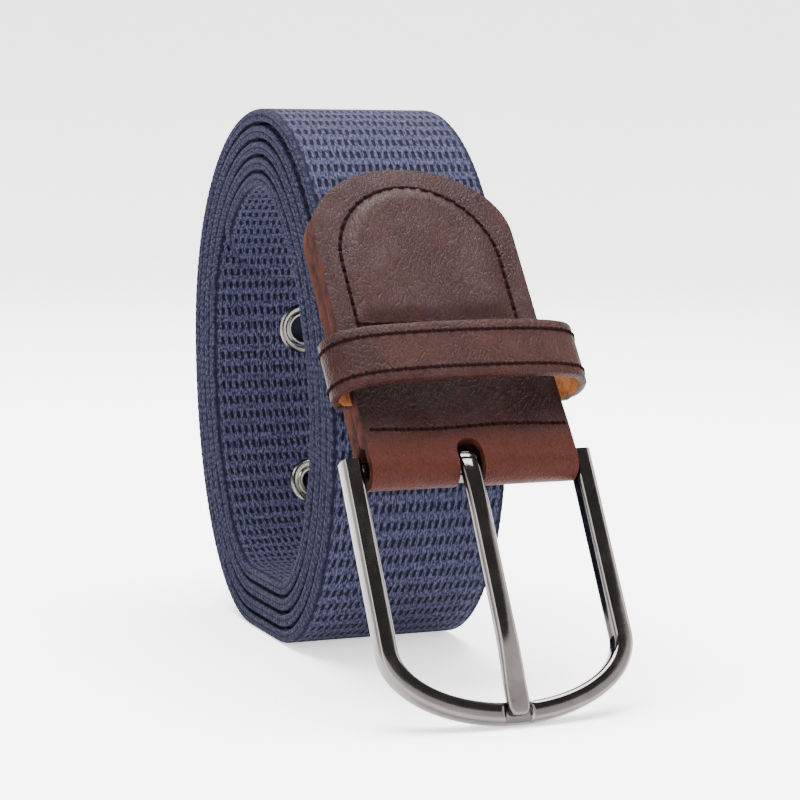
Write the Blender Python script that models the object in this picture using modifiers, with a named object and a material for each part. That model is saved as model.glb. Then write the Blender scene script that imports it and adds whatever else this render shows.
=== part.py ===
"""A rolled-up webbing belt with a folded leather tab, a keeper loop and a single-tongue frame buckle.

Units are metres and +Z is up. X runs across the belt's width, and -Y is the buckle's side. The roll
stands on its edge of turns, and the origin is the middle of the flat stretch that it rests on.
"""
import math

import bmesh
import bpy
from mathutils import Matrix, Vector

# Clearance between pieces that touch on the real belt
CLEARANCE = 0.0003

# Angles past which an edge is rounded, and past which it is shaded sharp, and how close points are one
ROUNDED_PAST = math.radians(50)
SHARP_PAST = math.radians(35)
ONE_POINT = 0.00001

# Webbing strap
WEBBING_WIDTH = 0.038
WEBBING_THICKNESS = 0.0028
SELVEDGE_ROUNDING = 0.0007
# Rounded tip: how far its outline draws in, over which length, and the angles of its rows on the arc
TIP_DRAW = 0.015
TIP_LENGTH = 0.019
TIP_ANGLES = (0, 20, 38, 53, 66, 90)

# Roll, seen from its side. The two upper quarters and the two lower ones are quarters of ellipses.
# Its front and back are measured from its top, and its top and its flat from the origin.
ROLL_HEIGHT = 0.1103
ROLL_FRONT = 0.0453
ROLL_BACK = 0.0428
ROLL_FRONT_LEVEL = 0.047
ROLL_BACK_LEVEL = 0.062
TOP_BEHIND = 0.0045
RESTING_LENGTH = 0.017
LAYER_GAP = 0.0005
FULL_TURNS = 4
TIP_RUN = 0.0925
QUARTER_STEPS = 12

# Leather tab, folded round the buckle's bar. It is one strip on the real belt, here a front and a back
# panel that meet the two halves of the fold, left and right of the tongue's slot, at the slot's top.
TAB_LEAN = math.radians(37.0)
FOLD_LEVEL = 0.04382
TAB_LENGTH = 0.0661
TAB_ARCH = 0.0155
ARCH_STEPS = 8
# The arch's last row stops short of its peak, so that it keeps a width
ARCH_LAST_ANGLE = 8
LEATHER_THICKNESS = 0.0016
WEBBING_END = 0.0295
SLOT_WIDTH = 0.0052
SLOT_ASIDE = -0.0009
SLOT_TOP = 0.0043
TAB_COLUMNS = 6
FOLD_STEPS = 8
# Play round the bar in the fold, and where the leathers close in from it to the webbing's thickness
FOLD_PLAY = 0.0006
CLOSING_START = 0.004
CLOSING_LENGTH = 0.012
CLOSING_STEPS = 4

# Keeper loop round the front leather
KEEPER_BOTTOM = 0.0134
KEEPER_WIDTH = 0.0120
KEEPER_THICKNESS = 0.0015
KEEPER_OVERHANG = 0.0049
KEEPER_HEIGHT = 0.0085

# Buckle frame. Its section is as deep as the frame is thick, and the tab has play on each side in it.
BAR_DIAMETER = 0.0030
BAR_SIDES = 16
FRAME_WIDTH = 0.0513
FRAME_DROP = 0.0506
FRAME_WIRE = 0.0038
BOW_WIRE = 0.0038
BOW_STEPS = 20
FRAME_DEPTH = 0.0040
FRAME_ROUNDING = 0.0010
BOW_HEIGHT = 0.0152
POST_RISE = 0.0018
TAB_PLAY = 0.0006
TONGUE_REST_DEPTH = 0.0012
# The frame lies a little to the left in the fold, and its bar a little up in it
FRAME_ASIDE = -0.0003
BAR_LIFT = 0.0003

# Tongue
TONGUE_WIDTH = 0.0039
TONGUE_THICKNESS = 0.0022
TONGUE_LENGTH = 0.0495
TONGUE_EYE_WALL = 0.0014
TONGUE_TIP = 0.0016
TONGUE_ROUNDING = 0.0007
TONGUE_ASIDE = -0.0012

# Eyelets in the tail
EYELET_COUNT = 5
EYELET_SPACING = 0.036
FIRST_EYELET = 0.0772
EYELET_ASIDE = 0.0024
EYELET_DIAMETER = 0.0115
EYELET_HOLE = 0.0056
EYELET_WALL = 0.0006
EYELET_FLANGE = 0.0005
EYELET_CORE = 0.0018
EYELET_RISE = 0.0006
EYELET_STEPS = 16

# Sizes that follow from those above
TAB_WIDTH = FRAME_WIDTH - 2 * FRAME_WIRE - 2 * TAB_PLAY
PITCH = WEBBING_THICKNESS + LAYER_GAP
FOLD_SPACE = BAR_DIAMETER / 2 + FOLD_PLAY
HALF_SPACE = WEBBING_THICKNESS / 2 + CLEARANCE
TAB_HALF_DEPTH = HALF_SPACE + LEATHER_THICKNESS
TUCK = TAB_HALF_DEPTH + CLEARANCE - WEBBING_THICKNESS / 2 - LAYER_GAP
FLAT_FRONT = -RESTING_LENGTH / 2
FLAT_BACK = RESTING_LENGTH / 2

# Where the inner turns tuck in behind the tab: the dent's middle past the tab's start, and its reaches
TUCK_MIDDLE = 0.003
TUCK_UP = 0.042
TUCK_DOWN = 0.060
# The share of each turn's length after which it starts to step in under the turn before
STEP_IN_FROM = 0.62


def smooth_step(share):
    """Rise from 0 to 1 with level ends."""
    share = min(max(share, 0.0), 1.0)
    return share * share * (3 - 2 * share)


def tangent_share():
    """The angle on the front upper quarter at which the roll leans as the tab does."""
    rise = ROLL_HEIGHT - ROLL_FRONT_LEVEL
    return math.atan(rise * math.tan(TAB_LEAN) / ROLL_FRONT)


def roll_quarters():
    """Quarters of the roll's outline, each (centre y, centre z, half width, half height, from, to)."""
    leave = math.pi - tangent_share()
    front_rise = ROLL_HEIGHT - ROLL_FRONT_LEVEL
    back_rise = ROLL_HEIGHT - ROLL_BACK_LEVEL
    front_below = FLAT_FRONT - (TOP_BEHIND - ROLL_FRONT)
    back_below = TOP_BEHIND + ROLL_BACK - FLAT_BACK
    return (
        (TOP_BEHIND, ROLL_FRONT_LEVEL, ROLL_FRONT, front_rise, leave, math.pi / 2),
        (TOP_BEHIND, ROLL_BACK_LEVEL, ROLL_BACK, back_rise, math.pi / 2, 0.0),
        (FLAT_BACK, ROLL_BACK_LEVEL, back_below, ROLL_BACK_LEVEL, 0.0, -math.pi / 2),
        (FLAT_FRONT, ROLL_FRONT_LEVEL, front_below, ROLL_FRONT_LEVEL, -math.pi / 2, -math.pi),
        (TOP_BEHIND, ROLL_FRONT_LEVEL, ROLL_FRONT, front_rise, math.pi, leave),
    )


def roll_outline():
    """The roll's closed outline as (point, outward normal, run) from where the tab's line leaves it."""
    stations = []
    for centre_y, centre_z, half_y, half_z, start, end in roll_quarters():
        steps = max(2, math.ceil(QUARTER_STEPS * abs(end - start) / (math.pi / 2)))
        for step in range(steps + 1):
            angle = start + (end - start) * step / steps
            point = Vector((0, centre_y + half_y * math.cos(angle), centre_z + half_z * math.sin(angle)))
            normal = Vector((0, math.cos(angle) / half_y, math.sin(angle) / half_z)).normalized()
            if stations and (point - stations[-1][0]).length < CLEARANCE:
                continue
            run = stations[-1][2] + (point - stations[-1][0]).length if stations else 0.0
            stations.append((point, normal, run))
    return stations


OUTLINE = roll_outline()
TURN_RUN = OUTLINE[-1][2]
TAB_UP = Vector((0, math.sin(TAB_LEAN), math.cos(TAB_LEAN)))
TAB_OUT = Vector((0, -math.cos(TAB_LEAN), math.sin(TAB_LEAN)))
LEAVING_POINT = OUTLINE[0][0] - TAB_OUT * WEBBING_THICKNESS / 2
TAB_STRAIGHT = (LEAVING_POINT.z - FOLD_LEVEL) / TAB_UP.z
FOLD = LEAVING_POINT - TAB_UP * TAB_STRAIGHT
BAR = FOLD + TAB_UP * BAR_LIFT + Vector((FRAME_ASIDE, 0, 0))
STRAP_RUN = TAB_STRAIGHT + FULL_TURNS * TURN_RUN + TIP_RUN


def outline_at(run):
    """The outline's point and normal at a run along it."""
    for (point, normal, start), (next_point, next_normal, end) in zip(OUTLINE, OUTLINE[1:]):
        if run <= end + 1e-9:
            share = (run - start) / (end - start)
            return point.lerp(next_point, share), normal.lerp(next_normal, share).normalized()
    return OUTLINE[-1][0], OUTLINE[-1][1]


def roll_depth(run):
    """How far the strap's outer face lies inside the outline, at a run from the leaving point."""
    turn = math.floor(run / TURN_RUN + 1e-9)
    share = run / TURN_RUN - turn
    depth = PITCH * (turn + smooth_step((share - STEP_IN_FROM) / (1 - STEP_IN_FROM)))
    passes = round(run / TURN_RUN)
    beside = run - passes * TURN_RUN - TUCK_MIDDLE
    reach = TUCK_UP if beside > 0 else TUCK_DOWN
    if passes and abs(beside) < reach:
        depth += TUCK * math.cos(math.pi / 2 * beside / reach) ** 2
    return depth


def strap_middle(run):
    """The strap's middle line and its outward normal, at a run from the fold."""
    past = run - TAB_STRAIGHT
    if past <= 0:
        return LEAVING_POINT + TAB_UP * past, TAB_OUT
    turn = math.floor(past / TURN_RUN + 1e-9)
    point, normal = outline_at(past - turn * TURN_RUN)
    return point - normal * (roll_depth(past) + WEBBING_THICKNESS / 2), normal


def bend_runs():
    """Runs from the fold at which the bent strap has a row of points, from its end in the tab to its tip."""
    tip_start = STRAP_RUN - TIP_LENGTH
    runs = [WEBBING_END, (WEBBING_END + TAB_STRAIGHT) / 2]
    for turn in range(FULL_TURNS + 1):
        for _, _, run in OUTLINE[:-1]:
            place = TAB_STRAIGHT + turn * TURN_RUN + run
            if place < tip_start - CLEARANCE:
                runs.append(place)
    return runs + [tip_start + TIP_LENGTH * math.sin(math.radians(angle)) for angle in TIP_ANGLES]


def run_at(from_tip):
    """The run at a real length back from the strap's tip."""
    runs = bend_runs()
    length = 0.0
    for near, far in zip(reversed(runs), reversed(runs[:-1])):
        step = (strap_middle(far)[0] - strap_middle(near)[0]).length
        if length + step >= from_tip:
            return near + (far - near) * (from_tip - length) / step
        length += step
    raise ValueError("the eyelets reach past the strap's end")


def eyelet_flats():
    """The two runs between which each stiff eyelet holds the strap flat, from the tip back."""
    half = EYELET_DIAMETER / 2 + 2 * CLEARANCE
    places = [FIRST_EYELET + index * EYELET_SPACING for index in range(EYELET_COUNT)]
    return [(run_at(place + half), run_at(place - half)) for place in places]


def strap_runs():
    """Runs of the strap's rows, with none inside an eyelet's flat."""
    flats = eyelet_flats()
    margin = SELVEDGE_ROUNDING
    kept = [run for run in bend_runs() if not any(a - margin < run < b + margin for a, b in flats)]
    return sorted(kept + [run for flat in flats for run in flat])


def strap_half_width(run):
    """Half the strap's width, drawn in along the rounded tip."""
    into_tip = max(0.0, run - (STRAP_RUN - TIP_LENGTH)) / TIP_LENGTH
    return WEBBING_WIDTH / 2 - TIP_DRAW * (1 - math.sqrt(max(0.0, 1 - into_tip ** 2)))


def principled(name, color, metallic, roughness):
    """A plain finish."""
    material = bpy.data.materials.new(name)
    material.use_nodes = True
    shader = material.node_tree.nodes["Principled BSDF"]
    shader.inputs["Base Color"].default_value = (*color, 1.0)
    shader.inputs["Metallic"].default_value = metallic
    shader.inputs["Roughness"].default_value = roughness
    return material


def collection(name):
    """A new collection in the scene."""
    made = bpy.data.collections.new(name)
    bpy.context.scene.collection.children.link(made)
    return made


def add_object(name, mesh, home, material=None, parent=None):
    """An object for a mesh, in a collection, with its finish and parent."""
    made = bpy.data.objects.new(name, mesh)
    home.objects.link(made)
    made.parent = parent
    if material:
        mesh.materials.append(material)
        mesh.shade_smooth()
        mesh.set_sharp_from_angle(angle=SHARP_PAST)
    return made


def add_empty(name, home, place, lean, parent=None):
    """An empty whose Z runs up a leaning plane and whose -Y points out of it."""
    made = bpy.data.objects.new(name, None)
    home.objects.link(made)
    made.location = place
    made.rotation_euler = (-lean, 0, 0)
    made.parent = parent
    return made


def strip_mesh(name, rows):
    """An open sheet through rows of points, each row as long as the others."""
    sheet = bmesh.new()
    made_rows = [[sheet.verts.new(point) for point in row] for row in rows]
    for row, next_row in zip(made_rows, made_rows[1:]):
        for column in range(len(row) - 1):
            sheet.faces.new((row[column], row[column + 1], next_row[column + 1], next_row[column]))
    mesh = bpy.data.meshes.new(name)
    sheet.to_mesh(mesh)
    sheet.free()
    return mesh


def flat_mesh(name, outlines, depth):
    """A flat outline in XY, with its holes, made as thick as depth along Z."""
    curve = bpy.data.curves.new(name, "CURVE")
    curve.dimensions = "2D"
    curve.fill_mode = "BOTH"
    curve.extrude = depth / 2
    for outline in outlines:
        spline = curve.splines.new("POLY")
        spline.points.add(len(outline) - 1)
        spline.use_cyclic_u = True
        for point, (x, y) in zip(spline.points, outline):
            point.co = (x, y, 0, 1)
    holder = bpy.data.objects.new(name, curve)
    bpy.context.scene.collection.objects.link(holder)
    bpy.context.view_layer.update()
    evaluated = holder.evaluated_get(bpy.context.evaluated_depsgraph_get())
    mesh = bpy.data.meshes.new_from_object(evaluated)
    bpy.data.objects.remove(holder)
    welded = bmesh.new()
    welded.from_mesh(mesh)
    bmesh.ops.remove_doubles(welded, verts=welded.verts, dist=ONE_POINT / 10)
    bmesh.ops.dissolve_limit(welded, angle_limit=math.radians(1), verts=welded.verts, edges=welded.edges)
    welded.to_mesh(mesh)
    welded.free()
    return mesh


def add_solidify(piece, thickness):
    """Thicken an open sheet evenly to both sides."""
    wall = piece.modifiers.new("Wall", "SOLIDIFY")
    wall.thickness = thickness
    wall.offset = 0
    wall.use_even_offset = True


def add_bevel(piece, width, segments=1):
    """Round a piece's sharp edges."""
    rounding = piece.modifiers.new("Rounding", "BEVEL")
    rounding.width = width
    rounding.segments = segments
    rounding.limit_method = "ANGLE"
    rounding.angle_limit = ROUNDED_PAST
    rounding.harden_normals = False


def add_boolean(piece, other, operation):
    """Cut or join a piece with another object."""
    step = piece.modifiers.new(other.name, "BOOLEAN")
    step.operation = operation
    step.object = other


def hide_cutter(cutter):
    """Mark an object as a cutter."""
    cutter.display_type = "WIRE"
    cutter.hide_render = True
    return cutter


def arc(radius, start, end, steps, centre=(0.0, 0.0)):
    """Points along an arc, from one angle in degrees to another."""
    angles = [math.radians(start + (end - start) * step / steps) for step in range(steps + 1)]
    return [(centre[0] + radius * math.cos(a), centre[1] + radius * math.sin(a)) for a in angles]


def add_turn(piece, steps):
    """Turn a profile about its object's Z."""
    turn = piece.modifiers.new("Turn", "SCREW")
    turn.steps = steps
    turn.render_steps = steps
    turn.use_merge_vertices = True
    turn.merge_threshold = ONE_POINT


def profile_mesh(name, profile, closed):
    """A line of edges through (radius, height) points."""
    mesh = bpy.data.meshes.new(name)
    points = [(radius, 0, height) for radius, height in profile]
    edges = [(index, index + 1) for index in range(len(points) - 1)]
    if closed:
        edges.append((len(points) - 1, 0))
    mesh.from_pydata(points, edges, [])
    return mesh


def eyelet_profile():
    """Half section of an eyelet, down its outer side and up its bore. Its inner flange is a little proud."""
    bore = EYELET_HOLE / 2
    barrel = bore + EYELET_WALL
    rim = EYELET_DIAMETER / 2
    core = EYELET_CORE / 2
    outer = core + EYELET_FLANGE
    inner = -outer - EYELET_RISE
    return [(rim - EYELET_WALL, outer), (rim, outer - EYELET_FLANGE / 2), (rim, core), (barrel, core),
            (barrel, -core), (rim, -core), (rim, -core - EYELET_FLANGE / 2), (rim - EYELET_WALL, inner),
            (bore + EYELET_WALL, inner), (bore, inner + EYELET_RISE), (bore, outer)]


def eyelet_matrix(index):
    """Where an eyelet sits, with its Z along the strap's outward normal."""
    ends = [strap_middle(run)[0] for run in eyelet_flats()[index]]
    across = Vector((1, 0, 0))
    along = (ends[0] - ends[1]).normalized()
    turn = Matrix((across, along, across.cross(along))).transposed()
    middle = (ends[0] + ends[1]) / 2 + across * EYELET_ASIDE
    return Matrix.Translation(middle) @ turn.to_4x4()


def seat_profile():
    """Half section of the webbing's hole and of the two seats pressed in round it, from the axis."""
    hole = EYELET_HOLE / 2 + EYELET_WALL + CLEARANCE
    seat = EYELET_DIAMETER / 2 + CLEARANCE
    floor = EYELET_CORE / 2 - CLEARANCE
    outside = WEBBING_THICKNESS / 2 + LAYER_GAP / 4
    inside = -WEBBING_THICKNESS
    return [(0, outside), (seat, outside), (seat, floor), (hole, floor),
            (hole, -floor), (seat, -floor), (seat, inside), (0, inside)]


def make_webbing(home, cutters, finish):
    """The rolled strap, with a hole and two pressed-in seats for each eyelet."""
    rows = []
    for run in strap_runs():
        middle, _ = strap_middle(run)
        half = strap_half_width(run)
        rows.append([middle + Vector((-half, 0, 0)), middle + Vector((half, 0, 0))])
    strap = add_object("webbing_strap", strip_mesh("webbing_strap", rows), home, finish)
    add_solidify(strap, WEBBING_THICKNESS)
    add_bevel(strap, SELVEDGE_ROUNDING)
    strap.modifiers.new("Triangles", "TRIANGULATE")

    for index in range(EYELET_COUNT):
        name = f"eyelet_seat_{index + 1}"
        seat = hide_cutter(add_object(name, profile_mesh(name, seat_profile(), False), cutters))
        seat.matrix_world = eyelet_matrix(index)
        add_turn(seat, EYELET_STEPS)
        add_boolean(strap, seat, "DIFFERENCE")
    return strap


def make_eyelets(home, finish):
    """The row of eyelets in the tail."""
    for index in range(EYELET_COUNT):
        name = f"eyelet_{index + 1}"
        eyelet = add_object(name, profile_mesh(name, eyelet_profile(), True), home, finish)
        eyelet.matrix_world = eyelet_matrix(index)
        add_turn(eyelet, EYELET_STEPS)


def tab_half_width(from_end):
    """Half the tab's width at a distance from its arched end."""
    into_arch = min(from_end / TAB_ARCH, 1.0)
    return TAB_WIDTH / 2 * math.sqrt(1 - (1 - into_arch) ** 2)


def leather_offset(run):
    """From the strap's middle line to the middle of the leather: wider round the bar, close on the webbing."""
    closed = smooth_step((run - CLOSING_START) / CLOSING_LENGTH)
    return FOLD_SPACE + (HALF_SPACE - FOLD_SPACE) * closed + LEATHER_THICKNESS / 2


def tab_row(run, side, left, right, columns):
    """Points across the leather, up the front for a side of 1 or up the back for -1."""
    middle, normal = strap_middle(run)
    return leather_row(middle + normal * side * leather_offset(run), left, right, columns)


def leather_row(centre, left, right, columns):
    """Evenly spaced points across, from left to right of a centre."""
    return [centre + Vector((left + (right - left) * c / columns, 0, 0)) for c in range(columns + 1)]


def make_panel(name, side, home, finish):
    """The front or back leather, from the slot's top to its arched end."""
    arch_span = 90 - ARCH_LAST_ANGLE
    arch_angles = [math.radians(90 - arch_span * step / ARCH_STEPS) for step in range(ARCH_STEPS + 1)]
    arch_runs = [TAB_LENGTH - TAB_ARCH * (1 - math.cos(angle)) for angle in arch_angles]
    closing = [CLOSING_START + CLOSING_LENGTH * step / CLOSING_STEPS for step in range(CLOSING_STEPS + 1)]
    runs = [SLOT_TOP] + [run for run in closing if run > SLOT_TOP + CLEARANCE] + [WEBBING_END] + arch_runs
    halves = [tab_half_width(TAB_LENGTH - run) for run in runs]
    rows = [tab_row(run, side, -half, half, TAB_COLUMNS) for run, half in zip(runs, halves)]
    panel = add_object(name, strip_mesh(name, rows), home, finish)
    add_solidify(panel, LEATHER_THICKNESS)
    return panel


def make_fold(name, left, right, home, finish):
    """One half of the fold round the bar: down from the back panel, round and up to the front panel."""
    top = SLOT_TOP - CLEARANCE
    columns = TAB_COLUMNS // 2
    rows = [tab_row(top, -1, left, right, columns)]
    for step in range(FOLD_STEPS + 1):
        angle = math.pi * step / FOLD_STEPS
        direction = TAB_OUT * math.cos(angle) + TAB_UP * math.sin(angle)
        rows.append(leather_row(FOLD - direction * leather_offset(0.0), left, right, columns))
    rows.append(tab_row(top, 1, left, right, columns))
    half = add_object(name, strip_mesh(name, rows), home, finish)
    add_solidify(half, LEATHER_THICKNESS)
    return half


def make_tab(home, finish):
    """The leather tab: two panels, and a fold that leaves a slot for the tongue."""
    make_panel("leather_tab_front", 1, home, finish)
    make_panel("leather_tab_back", -1, home, finish)
    slot_left = SLOT_ASIDE - SLOT_WIDTH / 2
    slot_right = SLOT_ASIDE + SLOT_WIDTH / 2
    make_fold("leather_fold_left", -TAB_WIDTH / 2, slot_left, home, finish)
    make_fold("leather_fold_right", slot_right, TAB_WIDTH / 2, home, finish)


def keeper_loop_points():
    """The keeper's closed middle line as (x, distance out of the tab's middle plane)."""
    half_wall = KEEPER_THICKNESS / 2
    back = HALF_SPACE - CLEARANCE - half_wall
    side = TAB_WIDTH / 2 + KEEPER_OVERHANG - half_wall
    front = TAB_HALF_DEPTH + KEEPER_HEIGHT - half_wall
    rise = front - back
    # Corner table: share of the side's place, share of the rise. The left side hugs the tab closer.
    loop = (
        (0.00, 0.00), (0.86, 0.00), (0.94, 0.07), (0.99, 0.20), (1.00, 0.42), (0.97, 0.66), (0.90, 0.83),
        (0.76, 0.93), (0.55, 0.985), (0.25, 1.00), (-0.10, 0.99), (-0.42, 0.95), (-0.70, 0.87),
        (-0.88, 0.74), (-0.97, 0.55), (-1.00, 0.34), (-0.985, 0.18), (-0.94, 0.07), (-0.86, 0.00),
    )
    return [(x * side, back + out * rise) for x, out in loop]


def make_keeper(home, plane, finish):
    """The closed leather band."""
    loop = keeper_loop_points()
    mesh = bpy.data.meshes.new("keeper_loop")
    band = bmesh.new()
    lower = [band.verts.new((x, -out, KEEPER_BOTTOM)) for x, out in loop]
    upper = [band.verts.new((x, -out, KEEPER_BOTTOM + KEEPER_WIDTH)) for x, out in loop]
    for index in range(len(loop)):
        after = (index + 1) % len(loop)
        band.faces.new((lower[index], lower[after], upper[after], upper[index]))
    band.to_mesh(mesh)
    band.free()
    keeper = add_object("keeper_loop", mesh, home, finish, plane)
    add_solidify(keeper, KEEPER_THICKNESS)
    return keeper


def bow_points(half_width, drop):
    """Half an ellipse from the right post, under the bow, to the left post."""
    start = -(FRAME_DROP - BOW_HEIGHT)
    height = drop + start
    return [(half_width * math.cos(a), start - height * math.sin(a))
            for a in [math.pi * step / BOW_STEPS for step in range(BOW_STEPS + 1)]]


def make_frame(home, cutters, hinge, finish):
    """Two posts and a bow, with the bar joined in and a rest cut for the tongue."""
    outer = FRAME_WIDTH / 2
    inner = outer - FRAME_WIRE
    outline = [(outer, POST_RISE)] + bow_points(outer, FRAME_DROP) + [(-outer, POST_RISE)]
    outline += [(-inner, POST_RISE)] + list(reversed(bow_points(inner, FRAME_DROP - BOW_WIRE)))
    outline += [(inner, POST_RISE)]
    mesh = flat_mesh("buckle_frame", [outline], FRAME_DEPTH)
    mesh.transform(Matrix.Rotation(math.pi / 2, 4, "X"))
    frame = add_object("buckle_frame", mesh, home, finish, hinge)
    add_bevel(frame, FRAME_ROUNDING)

    bar_mesh = bpy.data.meshes.new("bar")
    bar = bmesh.new()
    bmesh.ops.create_cone(bar, cap_ends=True, segments=BAR_SIDES, radius1=BAR_DIAMETER / 2,
                          radius2=BAR_DIAMETER / 2, depth=2 * inner + FRAME_WIRE,
                          matrix=Matrix.Rotation(math.pi / 2, 4, "Y"))
    bar.to_mesh(bar_mesh)
    bar.free()
    add_boolean(frame, hide_cutter(add_object("bar", bar_mesh, cutters, parent=hinge)), "UNION")

    rest_mesh = bpy.data.meshes.new("tongue_rest")
    rest = bmesh.new()
    width = TONGUE_WIDTH + 4 * CLEARANCE
    height = 4 * BOW_WIRE
    bmesh.ops.create_cube(rest, size=1.0, matrix=Matrix.Diagonal((width, FRAME_DEPTH, height, 1)))
    rest.to_mesh(rest_mesh)
    rest.free()
    rest_cutter = hide_cutter(add_object("tongue_rest", rest_mesh, cutters, parent=hinge))
    rest_cutter.location = (TONGUE_ASIDE - FRAME_ASIDE, -FRAME_DEPTH + TONGUE_REST_DEPTH, -FRAME_DROP + BOW_WIRE / 2)
    add_boolean(frame, rest_cutter, "DIFFERENCE")
    return frame


def make_tongue(home, hinge, finish):
    """The tongue's side outline, with the eye's bore, as thick as the tongue is wide."""
    bore = BAR_DIAMETER / 2 + CLEARANCE
    eye = bore + TONGUE_EYE_WALL
    back = FRAME_DEPTH / 2 - TONGUE_REST_DEPTH + CLEARANCE
    front = back + TONGUE_THICKNESS
    crown = max(eye, front)
    # Front edge, tip, back edge and round the eye, each point (distance out, height up the frame)
    tip_start = -(TONGUE_LENGTH - 0.3 * TONGUE_THICKNESS)
    outline = [(crown, 0.0), (crown + 0.15 * TONGUE_THICKNESS, -1.6 * TONGUE_THICKNESS),
               (front, -5 * TONGUE_THICKNESS), (front, -0.86 * TONGUE_LENGTH),
               (back + 1.25 * TONGUE_TIP, tip_start), (back + 0.8 * TONGUE_TIP, -TONGUE_LENGTH),
               (back, -TONGUE_LENGTH), (back, -0.5 * TONGUE_LENGTH), (back, -math.sqrt(eye ** 2 - back ** 2))]
    start = math.degrees(math.atan2(-math.sqrt(eye ** 2 - back ** 2), back))
    outline += arc(eye, start, -360 + 8, 16)[1:]
    hole = arc(bore, 0, 360, BAR_SIDES)[:-1]
    mesh = flat_mesh("buckle_tongue", [outline, hole], TONGUE_WIDTH)
    # Outline x points out of the frame (-Y), outline y up it (Z), and the thickness along X
    mesh.transform(Matrix(((0, 0, -1, 0), (-1, 0, 0, 0), (0, 1, 0, 0), (0, 0, 0, 1))))
    tongue = add_object("buckle_tongue", mesh, home, finish, hinge)
    add_bevel(tongue, TONGUE_ROUNDING)
    return tongue


def frame_lean():
    """The lean at which the bow's rear edge just touches the floor."""
    half = FRAME_DEPTH / 2
    edges = ((FRAME_DROP - FRAME_ROUNDING, half), (FRAME_DROP, half - FRAME_ROUNDING))
    return max(math.acos(BAR.z / math.hypot(*edge)) + math.atan2(edge[1], edge[0]) for edge in edges)


def main():
    for old in list(bpy.data.objects):
        bpy.data.objects.remove(old)
    home = collection("webbing_belt")
    cutters = collection("cutters")
    webbing = principled("navy_webbing", (0.045, 0.07, 0.16), 0.0, 0.85)
    leather = principled("brown_leather", (0.075, 0.028, 0.02), 0.0, 0.5)
    gunmetal = principled("gunmetal", (0.36, 0.34, 0.33), 1.0, 0.25)
    nickel = principled("eyelet_nickel", (0.5, 0.5, 0.5), 1.0, 0.3)

    make_webbing(home, cutters, webbing)
    make_eyelets(home, nickel)
    make_tab(home, leather)
    tab_plane = add_empty("keeper_plane", home, FOLD, TAB_LEAN)
    make_keeper(home, tab_plane, leather)
    hinge = add_empty("buckle_hinge", home, BAR, frame_lean())
    make_frame(home, cutters, hinge, gunmetal)
    tongue_hinge = add_empty("tongue_hinge", home, (TONGUE_ASIDE - FRAME_ASIDE, 0, 0), 0.0, hinge)
    make_tongue(home, tongue_hinge, gunmetal)
    bpy.context.view_layer.update()


main()
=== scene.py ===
"""The look of a rolled-up webbing belt with a folded leather tab, a keeper loop and a metal frame buckle.

Everything is in metres in the row frame: +Z up, X across the belt's width, -Y towards the buckle. The
roll's path repeats the part's driving sizes, so that each dressed piece lies where its solid lies.
"""
import math

import bmesh
import bpy
import numpy as np
from mathutils import Matrix, Vector


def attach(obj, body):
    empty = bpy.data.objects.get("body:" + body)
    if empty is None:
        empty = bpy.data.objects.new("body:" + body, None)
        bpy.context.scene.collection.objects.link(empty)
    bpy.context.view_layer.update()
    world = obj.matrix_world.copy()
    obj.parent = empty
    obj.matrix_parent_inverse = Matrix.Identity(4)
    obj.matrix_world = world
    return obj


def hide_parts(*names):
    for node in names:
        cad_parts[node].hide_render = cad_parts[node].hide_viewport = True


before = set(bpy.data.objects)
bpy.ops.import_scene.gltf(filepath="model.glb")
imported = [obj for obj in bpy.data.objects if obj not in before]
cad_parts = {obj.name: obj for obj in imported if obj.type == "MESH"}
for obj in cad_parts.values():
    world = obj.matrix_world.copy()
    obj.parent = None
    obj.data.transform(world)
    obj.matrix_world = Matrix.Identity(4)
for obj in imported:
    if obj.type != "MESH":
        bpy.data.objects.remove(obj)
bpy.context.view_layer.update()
MM = 0.001

# Webbing
CLEARANCE = 0.3 * MM
WEBBING_WIDTH = 38 * MM
WEBBING_THICKNESS = 2.8 * MM
TIP_DRAW = 15 * MM
TIP_LENGTH = 19 * MM
COLUMN_PITCH = 1.5 * MM
ROW_PITCH = 3.9 * MM
BRAID_PITCH = 3.1 * MM
BRAID_INSET = 0.9 * MM
BRAID_WRAP = 2.1 * MM
BRAID_FROM = 17.6 * MM
BRAID_FULL = 18.2 * MM
BRAID_START = 18.1 * MM
BRAID_WIDTH = 1.05 * MM
STRAP_STEP = 0.9 * MM

# Roll
ROLL_HEIGHT = 110.3 * MM
ROLL_FRONT = 45.3 * MM
ROLL_BACK = 42.8 * MM
ROLL_FRONT_LEVEL = 47 * MM
ROLL_BACK_LEVEL = 62 * MM
TOP_BEHIND = 4.5 * MM
RESTING_LENGTH = 17 * MM
LAYER_GAP = 0.5 * MM
FULL_TURNS = 4
TIP_RUN = 92.5 * MM
QUARTER_STEPS = 48
STEP_IN_FROM = 0.62
TUCK_MIDDLE = 3 * MM
TUCK_UP = 42 * MM
TUCK_DOWN = 60 * MM

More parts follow.
